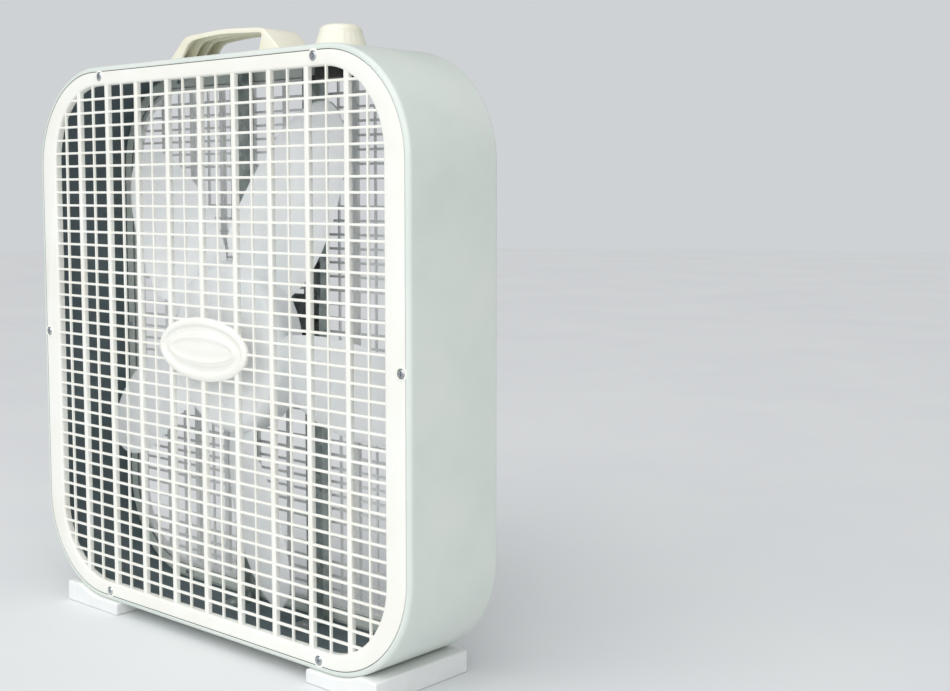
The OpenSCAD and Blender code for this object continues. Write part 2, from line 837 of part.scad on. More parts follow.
housing_band();
front_grille();
rear_grille();
front_grille_screws();
rear_grille_screws();
carry_handle();
handle_screws();
foot_left();
foot_right();
foot_screws();
motor_channel_left();
motor_channel_right();
channel_rivets();
motor_plate();
motor_plate_screws();
stator_core();
stator_coils();
shading_rings();
motor_front_bell();
motor_rear_bell();
motor_bolts();
motor_nuts();
front_bearing();
rear_bearing();
motor_shaft();
motor_rotor();
thrust_washers();
impeller();
hub_clip();
control_knob();
switch_spindle();
switch_rotor();
switch_body();
switch_nut();
switch_terminals();
switch_plug();
motor_lead();
lead_clips();
cord_gland();
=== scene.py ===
"""Looks of the box fan: painted band, moulded grilles, impeller, handle, knob and the motor behind them."""

import math

import bmesh
import bpy
from mathutils import Euler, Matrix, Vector


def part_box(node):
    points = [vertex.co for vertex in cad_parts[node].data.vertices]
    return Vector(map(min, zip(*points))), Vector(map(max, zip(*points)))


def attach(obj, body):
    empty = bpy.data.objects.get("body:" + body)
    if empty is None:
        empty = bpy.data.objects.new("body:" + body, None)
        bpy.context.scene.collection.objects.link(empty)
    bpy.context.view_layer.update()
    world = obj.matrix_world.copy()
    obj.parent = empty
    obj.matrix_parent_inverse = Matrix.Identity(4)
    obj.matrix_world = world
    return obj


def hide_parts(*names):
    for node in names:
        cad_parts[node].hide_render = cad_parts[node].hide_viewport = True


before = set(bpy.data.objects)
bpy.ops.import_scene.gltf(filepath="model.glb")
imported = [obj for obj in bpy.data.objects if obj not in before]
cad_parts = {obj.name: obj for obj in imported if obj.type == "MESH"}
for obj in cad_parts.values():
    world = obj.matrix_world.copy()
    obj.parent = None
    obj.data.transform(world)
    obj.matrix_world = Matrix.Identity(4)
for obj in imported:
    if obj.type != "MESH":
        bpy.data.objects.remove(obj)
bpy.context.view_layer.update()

MM = 0.001
SHARP_DEG = 35

# Places read from the CAD nodes, in metres.
BAND_LOW, BAND_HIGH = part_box("housing_band")
HALF = (BAND_HIGH.x - BAND_LOW.x) / 2
MID_Z = (BAND_LOW.z + BAND_HIGH.z) / 2
FRONT_Y = BAND_LOW.y
DEPTH = (BAND_HIGH.y - BAND_LOW.y) / MM
FACE = 2 * HALF / MM

# Sizes of the housing and its grilles, in millimetres.
CORNER_R = 97
EDGE_R = 4
SHEET = 1
SEAT = 4.8
FLANGE = 14.5
OPENING = (470, 490, 72)
PLATE_INSET = 5.5
COLUMNS = 20
ROWS = 38
RECESS = 0.6
BAR_DEPTH = 2.4
RIB_DEPTH = 4.4
WIDE_RIB = 5.5
THIN_BAR = 1.9
LEVEL_BAR = 2.3


# ---------------------------------------------------------------- small helpers

def at(x, depth, up):
    """A point given in millimetres from the middle of the front face: right, back and up."""
    return Vector((x * MM, FRONT_Y + depth * MM, MID_Z + up * MM))


def linear(hex_colour):
    """An sRGB hex colour as linear RGBA."""
    channels = [int(hex_colour[i:i + 2], 16) / 255 for i in (1, 3, 5)]
    return [c / 12.92 if c <= 0.04045 else ((c + 0.055) / 1.055) ** 2.4 for c in channels] + [1.0]


def add_node(tree, kind, settings=None, links=None):
    """Adds a node. Settings name its properties or input sockets; links name an input and what feeds it."""
    made = tree.nodes.new(kind)
    for key, value in (settings or {}).items():
        if isinstance(key, int) or key in made.inputs:
            made.inputs[key].default_value = value
        else:
            setattr(made, key, value)
    for key, source in (links or {}).items():
        tree.links.new(source, made.inputs[key])
    return made


def ramp(tree, source, stops):
    """A colour ramp fed by a factor, from pairs of position and hex colour."""
    made = add_node(tree, "ShaderNodeValToRGB", links={"Fac": source})
    band = made.color_ramp
    band.elements[0].position, band.elements[0].color = stops[0][0], linear(stops[0][1])
    band.elements[1].position, band.elements[1].color = stops[-1][0], linear(stops[-1][1])
    for place, colour in stops[1:-1]:
        band.elements.new(place).color = linear(colour)
    return made.outputs["Color"]


def surface(name, pattern, roughness, metallic=0.0, **shader):
    """A material whose colour, roughness span and bump come from a pattern function of the node tree."""
    material = bpy.data.materials.new(name)
    material.use_nodes = True
    tree = material.node_tree
    tree.nodes.clear()
    place = add_node(tree, "ShaderNodeTexCoord").outputs["Object"]
    colour, factor, height, bump_mm = pattern(tree, place)
    rough = add_node(tree, "ShaderNodeMapRange", {"To Min": roughness[0], "To Max": roughness[1]},
                     {"Value": factor})
    bump = add_node(tree, "ShaderNodeBump", {"Strength": 1.0, "Distance": bump_mm * MM}, {"Height": height})
    settings = {"Metallic": metallic}
    settings.update({key.replace("_", " "): value for key, value in shader.items()})
    body = add_node(tree, "ShaderNodeBsdfPrincipled", settings,
                    {"Base Color": colour, "Roughness": rough.outputs["Result"],
                     "Normal": bump.outputs["Normal"]})
    add_node(tree, "ShaderNodeOutputMaterial", links={"Surface": body.outputs["BSDF"]})
    return material


def noise(tree, place, size_mm, detail=3.0, roughness=0.55, squash=(1, 1, 1)):
    """Noise whose blobs are about size_mm across, squashed along an axis by a factor."""
    scaled = add_node(tree, "ShaderNodeMapping", {"Scale": tuple(squash)}, {"Vector": place})
    made = add_node(tree, "ShaderNodeTexNoise",
                    {"Scale": 1 / (size_mm * MM), "Detail": detail, "Roughness": roughness},
                    {"Vector": scaled.outputs["Vector"]})
    return made.outputs["Fac"]


# ---------------------------------------------------------------- patterns

def moulded(shades, cloud_mm=60, grain_mm=0.9, bump_mm=0.02):
    """Moulded thermoplastic: slow drifts of tint from flow and age over a fine satin skin."""
    def pattern(tree, place):
        drift = noise(tree, place, cloud_mm, 2.0)
        grain = noise(tree, place, grain_mm, 2.0)
        return ramp(tree, drift, [(0.3, shades[0]), (0.7, shades[1])]), grain, grain, bump_mm
    return pattern


def sprayed(shades, peel_mm=2.2):
    """Sprayed and baked enamel: a faint orange peel and a slight drift of tint."""
    def pattern(tree, place):
        drift = noise(tree, place, 90, 3.0)
        peel = noise(tree, place, peel_mm, 1.5, 0.4)
        return ramp(tree, drift, [(0.3, shades[0]), (0.5, shades[1]), (0.7, shades[2])]), peel, peel, 0.03
    return pattern


def spangled(shades, spangle_mm=7):
    """Hot-dip zinc: flat crystals a few millimetres across, each with its own shade."""
    def pattern(tree, place):
        cells = add_node(tree, "ShaderNodeTexVoronoi", {"Scale": 1 / (spangle_mm * MM)}, {"Vector": place})
        split = add_node(tree, "ShaderNodeSeparateColor", links={"Color": cells.outputs["Color"]})
        tint = split.outputs["Red"]
        grain = noise(tree, place, 0.8, 2.0)
        return ramp(tree, tint, [(0.0, shades[0]), (1.0, shades[1])]), tint, grain, 0.01
    return pattern


def drawn(shades, line_mm=0.35, along=(1, 0.05, 1)):
    """Ground or drawn metal: fine lines stretched along one axis."""
    def pattern(tree, place):
        lines = noise(tree, place, line_mm, 3.0, 0.6, along)
        return ramp(tree, lines, [(0.3, shades[0]), (0.7, shades[1])]), lines, lines, 0.008
    return pattern


def cast(shades, grain_mm=1.2):
    """Cast, sintered or bare metal: an even grain with small dark pits."""
    def pattern(tree, place):
        grain = noise(tree, place, grain_mm, 4.0, 0.65)
        stain = noise(tree, place, 14, 3.0)
        return ramp(tree, stain, [(0.3, shades[0]), (0.7, shades[1])]), grain, grain, 0.03
    return pattern


def banded(shades, pitch_mm, axis, bump_mm=0.08):
    """Stacked sheets, wound tape or a woven sleeve: even bands along an axis."""
    def pattern(tree, place):
        bands = add_node(tree, "ShaderNodeTexWave",
                         {"wave_type": "BANDS", "bands_direction": axis, "Scale": 0.314 / (pitch_mm * MM),
                          "Distortion": 1.2, "Detail": 2.0, "Detail Scale": 3.0}, {"Vector": place})
        return ramp(tree, bands.outputs["Fac"], [(0.2, shades[0]), (0.8, shades[1])]), \
            bands.outputs["Fac"], bands.outputs["Fac"], bump_mm
    return pattern


# ---------------------------------------------------------------- materials

# Baked enamel on rolled steel sheet: cool off-white with a soft sheen and a little orange peel.
ENAMEL = surface("baked_enamel_on_steel", sprayed(("#DBE5DE", "#E1E9E2", "#E7ECE6")), (0.30, 0.42),
                 Coat_Weight=0.25, Coat_Roughness=0.2)
# Painted shade inside the housing, laid on as a thin, dull slate-grey backing coat on the sheet's inward
# faces that keeps the inside dark behind the lattice.
INSIDE_SHADE = surface("painted_shade_inside_band", sprayed(("#56646A", "#5F6D72", "#69767A"), 3.0),
                  (0.55, 0.7))
# Injection-moulded polypropylene: bright white, faintly warm, with a waxy satin skin.
GRILLE_WHITE = surface("moulded_polypropylene_white", moulded(("#F6F5EC", "#FBFBF6")), (0.36, 0.50), IOR=1.49)
# The same plastic at the back of the fan, painted a little greyer as shade there and as dust.
GRILLE_REAR = surface("moulded_polypropylene_shaded_dusty", moulded(("#E9ECEA", "#F3F5F3")), (0.42, 0.56), IOR=1.49)
# Blade polypropylene: cooler white and smoother, so light slides along the twist.
BLADE_WHITE = surface("moulded_polypropylene_blade", moulded(("#F0F3F5", "#F8FAFB"), 80, 1.2, 0.012),
                      (0.28, 0.40), IOR=1.49)
# Moulded ABS gone slightly ivory with age, glossier than the grilles.
IVORY = surface("moulded_abs_ivory", moulded(("#F1EDD8", "#F8F5E6"), 40, 0.8, 0.015), (0.26, 0.38), IOR=1.54)
# Matt moulded feet.
FOOT_WHITE = surface("moulded_polypropylene_foot", moulded(("#EEF0EF", "#F6F7F6"), 30, 1.0, 0.03),
                     (0.5, 0.62))
# Hot-dip galvanised strip: dull grey-green zinc with visible spangle.
GALVANISED = surface("galvanised_steel_strip", spangled(("#8E9997", "#B9C1BE")), (0.34, 0.52), 0.85)
# Zinc-plated screws and nuts: bright, faintly blue.
PLATED = surface("zinc_plated_steel", cast(("#A9AEB4", "#CDD2D6"), 0.6), (0.22, 0.38), 1.0)
# Bright aluminium rivets.
RIVET = surface("aluminium_rivet", cast(("#BFC1C2", "#DADBDB"), 0.7), (0.30, 0.44), 1.0)
# Stacked silicon-steel sheets, drawn coarser than the real half millimetre so that the layers show.
LAMINATED = surface("laminated_core_steel", banded(("#3C3F45", "#6A6E75"), 1.0, "Y"), (0.45, 0.62), 0.8)
# Varnished winding tape: brown, with the turns showing.
TAPE = surface("varnished_winding_tape", banded(("#5E3A1C", "#8C5A2E"), 1.6, "Y", 0.15), (0.42, 0.6))
# Bare copper shading bands, slightly browned.
COPPER = surface("bare_copper", cast(("#9C5634", "#C97B52"), 0.8), (0.28, 0.42), 1.0)
# Die-cast zinc alloy bells: soft grey skin with a fine grain.
DIE_CAST = surface("die_cast_alloy", cast(("#8A8F91", "#A4A8A9")), (0.42, 0.58), 0.9)
# Sintered bronze bearings, dark with oil.
SINTERED = surface("sintered_bronze", cast(("#7D5C30", "#A37C46"), 0.5), (0.38, 0.5), 1.0)
# Ground steel: fine lines along the shaft.
GROUND = surface("ground_steel", drawn(("#A8AAAC", "#D0D2D3")), (0.18, 0.32), 1.0)
# Vulcanised fibre washers: tan, dull, fibrous.
FIBRE = surface("vulcanised_fibre", cast(("#9B7B4E", "#B9986A"), 0.9), (0.6, 0.75))
# Phenolic resin switch body: near black with a fine speckle.
PHENOLIC = surface("phenolic_resin", moulded(("#1B1B1D", "#2B2A2C"), 6, 0.7), (0.38, 0.52), IOR=1.6)
# Brass terminal blades.
BRASS = surface("stamped_brass", drawn(("#B39043", "#D9BC72"), 0.4, (1, 1, 0.1)), (0.25, 0.4), 1.0)
# Natural nylon: milky and a little waxy.
NYLON = surface("natural_nylon", moulded(("#DAD6C6", "#E9E6DA"), 12, 0.8), (0.38, 0.5), IOR=1.53)
# Woven fibre sleeve round the internal lead: black with a fine rib.
SLEEVE = surface("woven_fibre_sleeve", banded(("#0E0E10", "#2A2A2D"), 1.2, "DIAGONAL", 0.12), (0.6, 0.8))
# Black nylon clips and gland.
NYLON_BLACK = surface("black_nylon", moulded(("#151516", "#232325"), 10, 0.8), (0.4, 0.55), IOR=1.53)

CAD_FINISHES = {
    PLATED: ("front_grille_screws", "rear_grille_screws", "handle_screws", "foot_screws",
             "motor_plate_screws", "motor_bolts", "motor_nuts", "switch_nut"),
    RIVET: ("channel_rivets",),
    GALVANISED: ("motor_channel_left", "motor_channel_right", "motor_plate"),
    LAMINATED: ("stator_core", "motor_rotor"),
    TAPE: ("stator_coils",),
    COPPER: ("shading_rings",),
    DIE_CAST: ("motor_front_bell", "motor_rear_bell"),
    SINTERED: ("front_bearing", "rear_bearing"),
    GROUND: ("motor_shaft", "hub_clip", "switch_spindle"),
    FIBRE: ("thrust_washers",),
    PHENOLIC: ("switch_body", "switch_rotor"),
    BRASS: ("switch_terminals",),
    NYLON: ("switch_plug",),
    SLEEVE: ("motor_lead",),
    NYLON_BLACK: ("lead_clips", "cord_gland"),
}
for finish, names in CAD_FINISHES.items():
    for name in names:
        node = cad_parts[name]
        node.data.materials.clear()
        node.data.materials.append(finish)


# ---------------------------------------------------------------- mesh building

def make_piece(name, points, faces, material, body, slot, replaced=()):
    """A closed mesh piece with outward faces, smooth except at sharp edges, riding on a body."""
    mesh = bpy.data.meshes.new(name)
    mesh.from_pydata([tuple(p) for p in points], [], faces)
    tidy = bmesh.new()
    tidy.from_mesh(mesh)
    bmesh.ops.remove_doubles(tidy, verts=tidy.verts, dist=1e-7)
    bmesh.ops.recalc_face_normals(tidy, faces=tidy.faces)
    tidy.to_mesh(mesh)
    tidy.free()
    mesh.materials.append(material)
    piece = bpy.data.objects.new(name, mesh)
    bpy.context.scene.collection.objects.link(piece)
    shade(piece)
    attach(piece, body)
    if replaced:
        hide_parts(*replaced)
    return piece


def shade(piece):
    """Smooth shading that keeps edges sharper than SHARP_DEG."""
    piece.data.shade_smooth()
    piece.data.set_sharp_from_angle(angle=math.radians(SHARP_DEG))


def loft(loops, closed=False, caps=False):
    """Points and faces of a skin through loops of equal length; closed joins the last loop to the first."""
    count = len(loops[0])
    points = [p for loop in loops for p in loop]
    faces = []
    for k in range(len(loops) if closed else len(loops) - 1):
        a, b = k * count, (k + 1) % len(loops) * count
        faces += [(a + i, a + (i + 1) % count, b + (i + 1) % count, b + i) for i in range(count)]
    if caps:
        faces += [tuple(range(count))[::-1], tuple(range(len(points) - count, len(points)))]
    return points, faces


def merge(parts):
    """Joins lists of points and faces into one."""
    points, faces = [], []
    for more_points, more_faces in parts:
        base = len(points)
        points += more_points
        faces += [tuple(i + base for i in face) for face in more_faces]
    return points, faces


def rounded(width, height, radius, depth, steps=20):
    """Loop of a rectangle with round corners at a depth behind the front face."""
    loop = []
    for corner, (sx, sy) in enumerate(((1, 1), (-1, 1), (-1, -1), (1, -1))):
        for k in range(steps + 1):
            angle = math.radians(90 * (corner + k / steps))
            loop.append(at(sx * (width / 2 - radius) + radius * math.cos(angle), depth,
                           sy * (height / 2 - radius) + radius * math.sin(angle)))
    return loop


def outline(inset, depth):
    """The housing's outline drawn in by an inset."""
    return rounded(FACE - 2 * inset, FACE - 2 * inset, CORNER_R - inset, depth)


def opening(grow, depth):
    """The grille opening's outline grown by a margin."""
    return rounded(OPENING[0] + 2 * grow, OPENING[1] + 2 * grow, OPENING[2] + grow, depth)


def quarter(centre, radius, start, end, steps=6):
    """Pairs of inset and depth along an arc, angles in degrees from the inset axis."""
    return [(centre[0] + radius * math.cos(math.radians(start + (end - start) * k / steps)),
             centre[1] + radius * math.sin(math.radians(start + (end - start) * k / steps)))
            for k in range(steps + 1)]


def turned(section, steps=96):
    """Loops of a surface turned about the shaft from pairs of radius and depth."""
    return [[at(r * math.cos(2 * math.pi * k / steps), depth, r * math.sin(2 * math.pi * k / steps))
             for k in range(steps)] for r, depth in section]


def carve(piece, cutter_parts):
    """Cuts closed shapes out of a piece and keeps the result as its mesh."""
    points, faces = merge(cutter_parts)
    mesh = bpy.data.meshes.new("cutter")
    mesh.from_pydata([tuple(p) for p in points], [], faces)
    tidy = bmesh.new()
    tidy.from_mesh(mesh)
    bmesh.ops.recalc_face_normals(tidy, faces=tidy.faces)
    tidy.to_mesh(mesh)
    tidy.free()
    cutter = bpy.data.objects.new("cutter", mesh)
    bpy.context.scene.collection.objects.link(cutter)
    cut = piece.modifiers.new("cut", "BOOLEAN")
    cut.operation, cut.object, cut.solver = "DIFFERENCE", cutter, "EXACT"
    bpy.context.view_layer.update()
    result = bpy.data.meshes.new_from_object(piece.evaluated_get(bpy.context.evaluated_depsgraph_get()))
    piece.modifiers.clear()
    piece.data = result
    bpy.data.objects.remove(cutter)
    shade(piece)


# ---------------------------------------------------------------- housing band

def band_section():
    """Inset and depth round the sheet: rolled edge, seat and flange, inner wall, then the rear half."""
    front = quarter((EDGE_R, EDGE_R), EDGE_R, 180, 270, 8) + [
        (EDGE_R + SHEET - 0.3, 0), (EDGE_R + SHEET, 0.3), (EDGE_R + SHEET, SEAT), (FLANGE, SEAT),
        (FLANGE, SEAT + SHEET), (EDGE_R, SEAT + SHEET), (EDGE_R, SHEET)]
    front += quarter((EDGE_R, EDGE_R), EDGE_R - SHEET, 270, 180, 5)
    rear = [(inset, DEPTH - depth) for inset, depth in reversed(front)]
    return front + rear


band_skin = loft([outline(inset, depth) for inset, depth in band_section()], closed=True)
band = make_piece("housing_band_painted", *band_skin, ENAMEL, "fan_body", "painted_steel", ["housing_band"])
# The inward upright faces of the band take the slate grey that paints the shade inside the housing.
band.data.materials.append(INSIDE_SHADE)
for face in band.data.polygons:
    inward = face.normal.x * face.center.x + face.normal.z * (face.center.z - MID_Z) < 0
    if inward and abs(face.normal.y) < 0.1:
        face.material_index = 1


# ---------------------------------------------------------------- grilles

SCREW_X = 154
SCREW_INSET = 10
SCREW_HOLE_R = 4.3
COLLAR_BITE = 1.6
BADGE = (127, 58)
BADGE_FIELD = (BADGE[0] - 48, BADGE[1] - 48)
SCREW_PLACES = [(sx * SCREW_X, sy * (FACE / 2 - SCREW_INSET)) for sx in (-1, 1) for sy in (-1, 1)]
SCREW_PLACES += [(sx * (FACE / 2 - SCREW_INSET), 0) for sx in (-1, 1)]


def facing(points, rear):
    """Points as given for the front grille, or mirrored through the housing for the rear one."""
    middle = FRONT_Y + DEPTH * MM / 2
    return [Vector((p.x, 2 * middle - p.y, p.z)) for p in points] if rear else points


def border():
    """The plate around the lattice: rounded outer lip, flat face, soft inner edge, collar and skirt."""
    lip = [outline(PLATE_INSET + 0.8 - 0.8 * math.cos(math.radians(a)), 0.8 - 0.8 * math.sin(math.radians(a)))
           for a in (0, 30, 60, 90)]
    edge = [opening(g, d) for g, d in ((2.2, 0), (1.3, 0.12), (0.6, 0.5), (0.15, 1.2), (0, 2.0))]
    back = [opening(0, 7), opening(3, 7), opening(3, 2.6), outline(PLATE_INSET + 2, 2.6),
            outline(PLATE_INSET + 2, SEAT), outline(PLATE_INSET, SEAT)]
    return loft(lip + edge + back, closed=True)


def bar(start, end, width, depth, across, back=0.0):
    """A moulded bar with a rounded front, its width along an axis and its front set back."""
    half, soft = width / 2, min(0.7, width / 3)
    section = [(-half, depth), (-half, soft + back)] + [
        (-half + soft - soft * math.cos(math.radians(a)), soft + back - soft * math.sin(math.radians(a)))
        for a in (30, 60, 90)]
    section += [(-x, d) for x, d in reversed(section)]
    loops = []
    for x, up in (start, end):
        loops.append([at(x + (w if across == "x" else 0), RECESS + d, up + (w if across == "z" else 0))
                      for w, d in section])
    return loft(loops, caps=True)


def reach(offset, size, other):
    """Half the opening's length on a line at an offset from its middle."""
    radius = OPENING[2]
    over = abs(offset) - (other / 2 - radius)
    if over <= 0:
        return size / 2
    return size / 2 - radius + math.sqrt(max(radius ** 2 - over ** 2, 0))


def lattice():
    """Level bars, thin uprights and wide ribs, each ending inside the border's collar."""
    parts = []
    pitch_x = (OPENING[0] + 10) / COLUMNS
    pitch_z = (OPENING[1] + 0.6) / ROWS
    for i in range(1, COLUMNS):
        x = (i - COLUMNS / 2) * pitch_x
        wide = i % 2 == 0
        half = reach(abs(x), OPENING[1], OPENING[0]) + COLLAR_BITE
        width, depth = (WIDE_RIB, RIB_DEPTH) if wide else (THIN_BAR, BAR_DEPTH)
        parts.append(bar((x, -half), (x, half), width, depth, "x"))
    for j in range(1, ROWS):
        z = (j - ROWS / 2) * pitch_z
        half = reach(abs(z), OPENING[0], OPENING[1]) + COLLAR_BITE
        parts.append(bar((-half, z), (half, z), LEVEL_BAR, BAR_DEPTH - 0.1, "z", 0.2))
    return merge(parts)


def ring(x, up, radius, depth, steps=32):
    """Loop of a circle round a place on the face, at a depth behind it."""
    return [at(x + radius * math.cos(2 * math.pi * k / steps), depth,
               up + radius * math.sin(2 * math.pi * k / steps)) for k in range(steps)]


def screw_pads():
    """Low round pads in the border round each screw."""
    pads = []
    for x, up in SCREW_PLACES:
        section = [(SCREW_HOLE_R, 1.4), (SCREW_HOLE_R, -0.1), (4.6, -0.35), (5.6, -0.35), (6.3, 0.1),
                   (6.3, 1.4)]
        pads.append(loft([ring(x, up, r, depth) for r, depth in section], closed=True))
    return merge(pads)


def screw_recesses():
    """Cutters for the counterbores round each screw."""
    cutters = []
    for x, up in SCREW_PLACES:
        cutters.append(loft([ring(x, up, SCREW_HOLE_R, depth) for depth in (-1, 1.25)], caps=True))
    return cutters


def ellipse(length, height, depth, steps=96):
    """Loop of an ellipse round the middle of the face, at a depth behind it."""
    return [at(length / 2 * math.cos(2 * math.pi * k / steps), depth,
               height / 2 * math.sin(2 * math.pi * k / steps)) for k in range(steps)]


def badge():
    """Oval badge: base plate, rolled rim, dished field, raised rings and a low dome in the middle."""
    steps = [(0, 3.0), (0, 0.3), (0.7, -0.4), (2.0, -1.1), (3.8, -1.55), (5.4, -1.55), (6.8, -1.0),
             (7.6, -0.1), (8.4, 0.5), (12.4, 0.5), (13.2, 0.0), (14.4, -0.75), (16.4, -0.8), (17.2, -1.5),
             (18.6, -1.6), (19.8, -1.1), (20.8, -0.7), (24.2, -0.8)]
    loops = [ellipse(BADGE[0] - 2 * inset, BADGE[1] - 2 * inset, depth) for inset, depth in steps]
    loops += [ellipse(BADGE_FIELD[0] * share, BADGE_FIELD[1] * share, -0.8 - 0.35 * (1 - share))
              for share in (0.75, 0.5, 0.25, 0.06)]
    return loft(loops, caps=True)


for rear, material, slot, label in ((False, GRILLE_WHITE, "grille_plastic", "front"),
                                    (True, GRILLE_REAR, "rear_grille_plastic", "rear")):
    points, faces = border()
    plate = make_piece(f"{label}_grille_border", points, faces, material, "fan_body", slot,
                       [f"{label}_grille"])
    carve(plate, screw_recesses())
    if rear:
        middle = 2 * (FRONT_Y + DEPTH * MM / 2)
        for vertex in plate.data.vertices:
            vertex.co.y = middle - vertex.co.y
        plate.data.flip_normals()
        shade(plate)
    parts = [lattice(), screw_pads()] + ([] if rear else [badge()])
    points, faces = merge(parts)
    make_piece(f"{label}_grille_lattice", facing(points, rear), faces, material, "fan_body", slot)


# ---------------------------------------------------------------- impeller

BLADES = 5
HUB_R = 80
HUB_FACE = 22
HUB_RIM = 52
TIP_R = 248
BLADE_HALF_SPAN = 97
HALF_CHORD = 46.5
BLADE_HALF_THICK = 1.1
HUB_BITE = 1.2


def blade_point(t, s, lift):
    """Centre surface of a blade: t in degrees from hub to tip, s from the rear edge to the front edge."""
    r = TIP_R - BLADE_HALF_SPAN - BLADE_HALF_SPAN * math.cos(math.radians(t))
    along = (r - HUB_R) / (TIP_R - HUB_R)
    near_hub = max(0, 1 - (r - HUB_R) / 20)
    half_turn = math.degrees(HALF_CHORD * math.sin(math.radians(t)) / r)
    turn = math.radians(59.5 + 3 * along + s * half_turn)
    twist = (0.775 - 0.275 * along) * (1 - 0.46 * near_hub)
    depth = HUB_FACE + 11.5 + 7 * near_hub + 0.135 * (r - HUB_R) - twist * s * half_turn - lift
    return r * math.cos(turn), depth, r * math.sin(turn)


def blade(index, rows=30, across=18):
    """One twisted blade with rounded edges, as loops round its section from the hub wall to the tip."""
    start = math.degrees(math.acos((TIP_R - BLADE_HALF_SPAN - HUB_R + HUB_BITE) / BLADE_HALF_SPAN))
    swing = 2 * math.pi * index / BLADES
    loops = []
    for i in range(rows + 1):
        t = start + (178 - start) * i / rows
        loop = []
        for side in (1, -1):
            for j in range(across):
                s = side * (-1 + 2 * j / across)
                thick = BLADE_HALF_THICK * (1 - abs(s) ** 6) ** 0.5
                x, depth, up = blade_point(t, s, side * thick)
                loop.append(at(x * math.cos(swing) - up * math.sin(swing), depth,
                               x * math.sin(swing) + up * math.cos(swing)))
        loops.append(loop)
    return loft(loops, caps=True)


def hub():
    """Cup with a slightly crowned face, a soft front edge and a hollow back with a boss."""
    outer = [(4, HUB_FACE), (30, HUB_FACE + 0.1), (50, HUB_FACE + 0.3), (68, HUB_FACE + 0.9)]
    outer += [(68 + 12 * math.sin(math.radians(a)), HUB_FACE + 12.9 - 12 * math.cos(math.radians(a)))
              for a in range(15, 91, 15)]
    outer += [(HUB_R, HUB_RIM - 0.6), (HUB_R - 0.6, HUB_RIM), (HUB_R - 2, HUB_RIM),
              (HUB_R - 2.5, HUB_RIM - 0.5)]
    inner = [(HUB_R - 2.5, HUB_FACE + 13)]
    inner += [(68 + 9.5 * math.sin(math.radians(a)), HUB_FACE + 12.5 - 9.5 * math.cos(math.radians(a)))
              for a in range(75, -1, -15)]
    inner += [(12.5, HUB_FACE + 2.6), (11, HUB_FACE + 4), (11, HUB_FACE + 11), (4, HUB_FACE + 11)]
    return loft(turned(outer + inner), closed=True)


points, faces = merge([hub()] + [blade(k) for k in range(BLADES)])
make_piece("impeller_moulding", points, faces, BLADE_WHITE, "impeller_rotor", "blade_plastic", ["impeller"])


# ---------------------------------------------------------------- handle

HANDLE_LOW, HANDLE_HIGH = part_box("carry_handle")
HANDLE_HALF = (HANDLE_HIGH.x - HANDLE_LOW.x) / 2
HANDLE_RISE = HANDLE_HIGH.z - HANDLE_LOW.z
# Corners of half the arch, from the foot to the crown, as shares of the half length and the rise.
HALF_ARCH = ((1.0, 0.0), (0.92, 0.23), (0.83, 0.477), (0.75, 0.70), (0.70, 0.82), (0.64, 0.89), (0.55, 0.922),
             (0.42, 0.945), (0.25, 0.97), (0.12, 0.99), (0.0, 1.0))
ARCH = [(-x * HANDLE_HALF, up * HANDLE_RISE) for x, up in HALF_ARCH]
ARCH += [(x * HANDLE_HALF, up * HANDLE_RISE) for x, up in reversed(HALF_ARCH[:-1])]
# Corners of the finger gap in millimetres: a sloping left side, a shallow vault and an upright right edge.
GAP = [(x * MM, up * MM) for x, up in (
    (-63.1, 0), (-60.7, 3), (-57.5, 7), (-54.3, 11), (-51.5, 14.3), (-48, 16.8), (-43, 18.7), (-36, 19.6),
    (-24, 20.4), (-12, 21.1), (0, 21.5), (12, 21.2), (24, 20.6), (36, 20.0), (46, 19.5), (52.5, 19.0),
    (55, 18.0), (55.6, 16.0), (54.6, 12), (53, 6.5), (51.4, 0))]


def smooth_curve(corners, per_span=4):
    """A smooth open curve through its corners."""
    ends = [Vector(c) for c in (corners[0], *corners, corners[-1])]
    curve = []
    for k in range(len(corners) - 1):
        p0, p1, p2, p3 = ends[k:k + 4]
        for step in range(per_span):
            u = step / per_span
            curve.append(0.5 * ((2 * p1) + (p2 - p0) * u + (2 * p0 - 5 * p1 + 4 * p2 - p3) * u * u
                                + (3 * p1 - p0 - 3 * p2 + p3) * u ** 3))
    return curve + [ends[-1]]


def handle_shell():
    """The arch as a channel open below: crown, two flanges down to the finger gap, and two inner ribs."""
    crown, gap = smooth_curve(ARCH), smooth_curve(GAP)
    y0, y1 = HANDLE_LOW.y, HANDLE_HIGH.y
    wall, soft = 2.4 * MM, 2.2 * MM

    def place(k, drop, y):
        """Point at a drop below the crown, as a length, or at the gap's edge when drop is None."""
        top, low = crown[k], gap[k]
        span = (low - top).length
        share = 1.0 if drop is None else min(drop / span, 0.96)
        mix = top.lerp(low, share)
        return Vector((mix.x, y, HANDLE_LOW.z + max(mix.y, 0)))

    def strip(section):
        return loft([[place(k, drop, y) for drop, y in section] for k in range(len(crown))], caps=True)

    shoulder = [(soft - soft * math.sin(math.radians(a)), soft - soft * math.cos(math.radians(a)))
                for a in (0, 30, 60, 90)]
    section = [(None, y0 + wall), (None, y0 + 0.5 * MM), (None, y0)]
    section += [(drop, y0 + inward) for drop, inward in shoulder]
    section += [(drop, y1 - inward) for drop, inward in reversed(shoulder)]
    section += [(None, y1), (None, y1 - 0.5 * MM), (None, y1 - wall), (wall, y1 - wall), (wall, y0 + wall)]
    ribs = []
    for share in (0.36, 0.64):
        y = y0 + (y1 - y0) * share
        ribs.append(strip([(wall * 0.8, y - wall / 2), (wall * 0.8, y + wall / 2), (None, y + wall / 2),
                           (None, y - wall / 2)]))
    return merge([strip(section)] + ribs)


make_piece("carry_handle_shell", *handle_shell(), IVORY, "fan_body", "ivory_plastic", ["carry_handle"])


# ---------------------------------------------------------------- knob

KNOB_LOW, KNOB_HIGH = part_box("control_knob")
KNOB_X, KNOB_Y = (KNOB_LOW.x + KNOB_HIGH.x) / 2, (KNOB_LOW.y + KNOB_HIGH.y) / 2
FLUTE_DEPTH = 0.28


